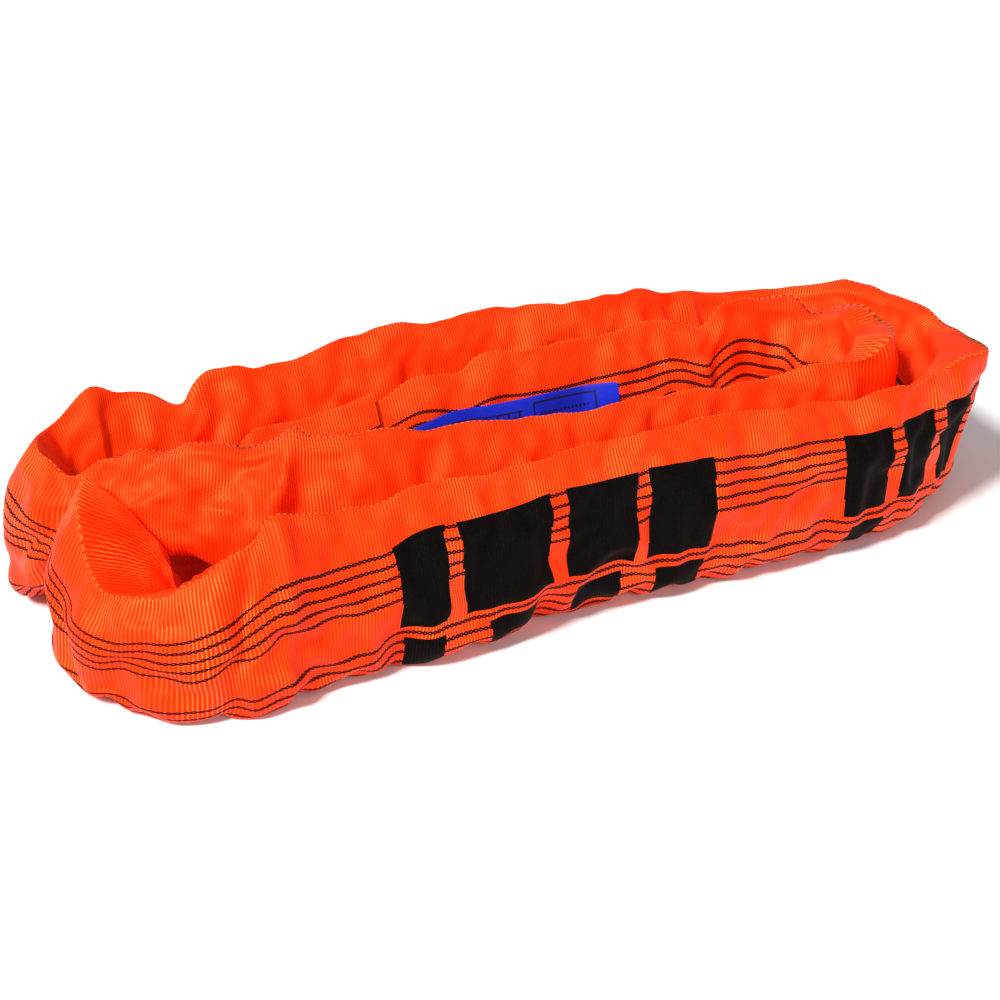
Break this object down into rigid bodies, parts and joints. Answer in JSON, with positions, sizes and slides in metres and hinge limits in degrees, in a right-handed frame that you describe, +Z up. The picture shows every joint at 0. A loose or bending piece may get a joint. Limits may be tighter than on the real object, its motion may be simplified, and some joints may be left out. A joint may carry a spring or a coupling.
{
  "type": "round sling",
  "caption": "Endless textile lifting sling, an orange woven sleeve round a yarn core with a blue label flap, laid down as a flat coil of nested loops.",
  "frame": {"origin": "middle of the coil's footprint, on the surface it lies on", "axes": "+X along the coil, away from the crossing; +Y towards the legs that carry the label; +Z up"},
  "size_m": [0.4987, 0.1939, 0.09],
  "materials": {
    "sleeve_weave": "tubular woven polyester with cross ribs, black woven stripes, slight filament sheen",
    "core_yarn": "parallel undyed polyester yarn",
    "tie_tape": "cloth binding tape",
    "sleeve_thread": "heavy polyester sewing thread",
    "label_cloth": "printed blue polyester label cloth",
    "label_thread": "black polyester sewing thread"
  },
  "bodies": {
    "sling": {"sleeve": "sleeve_weave", "core_hank_1": "core_yarn", "core_hank_2": "core_yarn", "core_hank_3": "core_yarn", "core_hank_4": "core_yarn", "core_hank_5": "core_yarn", "core_hank_6": "core_yarn", "core_tie_1": "tie_tape", "core_tie_2": "tie_tape", "core_tie_3": "tie_tape", "seam_row_1": "sleeve_thread", "seam_row_2": "sleeve_thread", "label_sewn_leg": "label_cloth"},
    "label": {"label_flap": "label_cloth", "label_hem_stitch": "label_thread"}
  },
  "joints": [
    {"name": "label_swing", "type": "hinge", "parent": "sling", "child": "label", "pos_m": [-0.066, 0.0157, 0], "axis": [0, 0, -1], "range_deg": [0, 10]}
  ]
}
